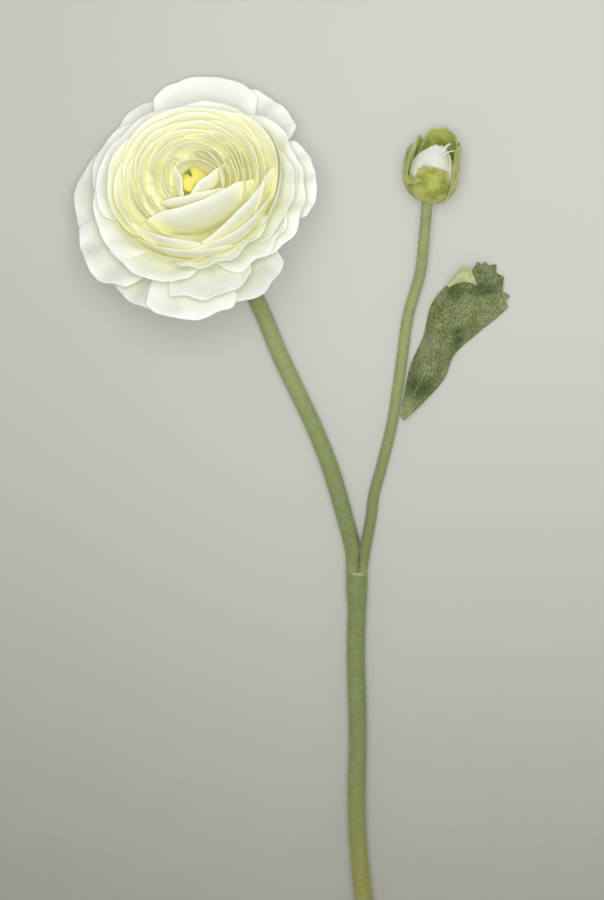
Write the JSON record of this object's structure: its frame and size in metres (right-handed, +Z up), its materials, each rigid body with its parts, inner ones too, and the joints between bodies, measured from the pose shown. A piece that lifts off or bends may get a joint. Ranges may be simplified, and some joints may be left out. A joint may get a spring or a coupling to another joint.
{
  "type": "ranunculus flower",
  "caption": "Cut ranunculus spray lying flat: a forked stem with an open, many-petalled white and cream bloom, a closed bud and a toothed leaf.",
  "frame": {"origin": "middle of the lying spray's footprint, on the surface that it lies on", "axes": "+Z up from the surface, +Y from the cut end of the stem towards the bloom, +X towards the bud and the leaf"},
  "size_m": [0.1608, 0.3354, 0.0491],
  "materials": {
    "stem_green": "matte, fine-haired green stem",
    "leaf_green": "matte, fine-haired green leaf",
    "white_petal": "soft, slightly translucent white petal",
    "cream_petal": "soft, slightly translucent cream petal",
    "eye_yellow": "matte yellow-green petal",
    "sepal_green": "matte, fine-haired yellow-green sepal"
  },
  "bodies": {
    "root": {"main_stem": "stem_green", "bloom_stem": "stem_green", "bud_stem": "stem_green", "leaf": "leaf_green", "bloom_outer_petals": "white_petal", "bloom_inner_petals": "cream_petal", "bloom_eye": "eye_yellow", "bloom_calyx": "sepal_green", "bud_petals": "white_petal", "bud_sepals": "sepal_green"}
  },
  "joints": []
}
